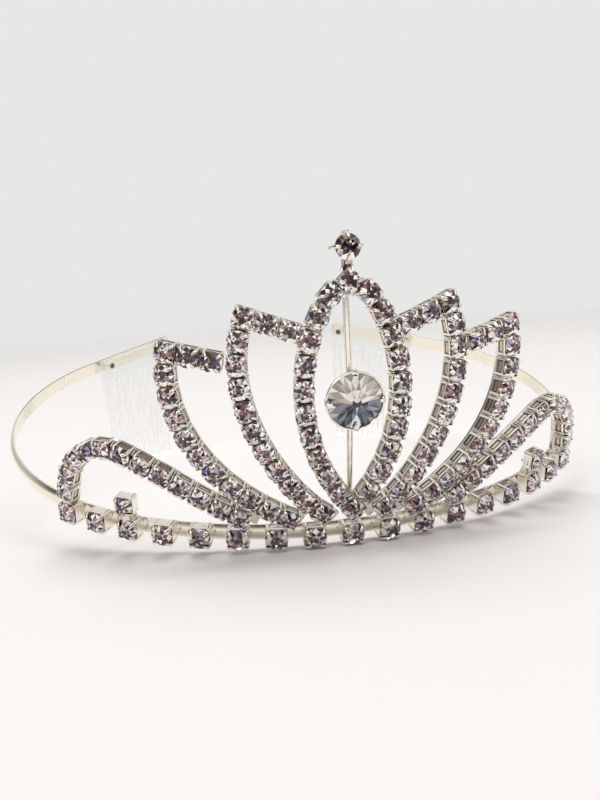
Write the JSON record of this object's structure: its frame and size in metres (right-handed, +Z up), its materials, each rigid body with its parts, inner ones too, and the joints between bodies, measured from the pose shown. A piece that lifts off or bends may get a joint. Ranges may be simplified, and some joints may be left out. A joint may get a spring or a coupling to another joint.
{
  "type": "bridal tiara",
  "caption": "Bridal tiara: a springy C-shaped band carrying claw-set rhinestone strands in a pointed crown pattern, a large centre stone and clear side combs.",
  "frame": {"origin": "on the table, under the middle of the tiara's bounding box, with the tiara standing on its front cups and comb tips", "axes": "+Z up, +Y from the crown front towards the combs, +X towards the wearer's left"},
  "size_m": [0.137, 0.137, 0.06],
  "materials": {
    "silver_plate": "bright warm silver plate",
    "crystal": "foil-backed cut crystal",
    "clear_crystal": "foil-backed clear cut crystal",
    "clear_plastic": "clear moulded plastic",
    "dark_steel": "darkened rivet steel"
  },
  "bodies": {
    "root": {"band": "silver_plate", "stem_wire": "silver_plate", "rivoli_stone": "clear_crystal", "rivoli_bezel": "silver_plate", "base_cup_chain": "silver_plate", "base_stones": "crystal", "mandorla_cup_chain": "silver_plate", "mandorla_stones": "crystal", "mandorla_ribbon": "silver_plate", "finial_cup": "silver_plate", "finial_stone": "crystal", "finial_neck": "silver_plate", "accent_right_cup": "silver_plate", "accent_right_stone": "crystal", "accent_right_neck": "silver_plate", "accent_left_cup": "silver_plate", "accent_left_stone": "crystal", "accent_left_neck": "silver_plate", "side_loop_right_cup_chain": "silver_plate", "side_loop_right_stones": "crystal", "side_loop_right_ribbon": "silver_plate", "side_loop_left_cup_chain": "silver_plate", "side_loop_left_stones": "crystal", "side_loop_left_ribbon": "silver_plate", "comb_right": "clear_plastic", "comb_left": "clear_plastic", "comb_rivet_right_near": "dark_steel", "comb_rivet_right_far": "dark_steel", "comb_rivet_left_near": "dark_steel", "comb_rivet_left_far": "dark_steel", "inner_petal_right_cup_chain": "silver_plate", "inner_petal_right_stones": "crystal", "inner_petal_right_ribbon": "silver_plate", "inner_petal_left_cup_chain": "silver_plate", "inner_petal_left_stones": "crystal", "inner_petal_left_ribbon": "silver_plate", "outer_petal_right_cup_chain": "silver_plate", "outer_petal_right_stones": "crystal", "outer_petal_right_ribbon": "silver_plate", "outer_petal_left_cup_chain": "silver_plate", "outer_petal_left_stones": "crystal", "outer_petal_left_ribbon": "silver_plate"}
  },
  "joints": []
}
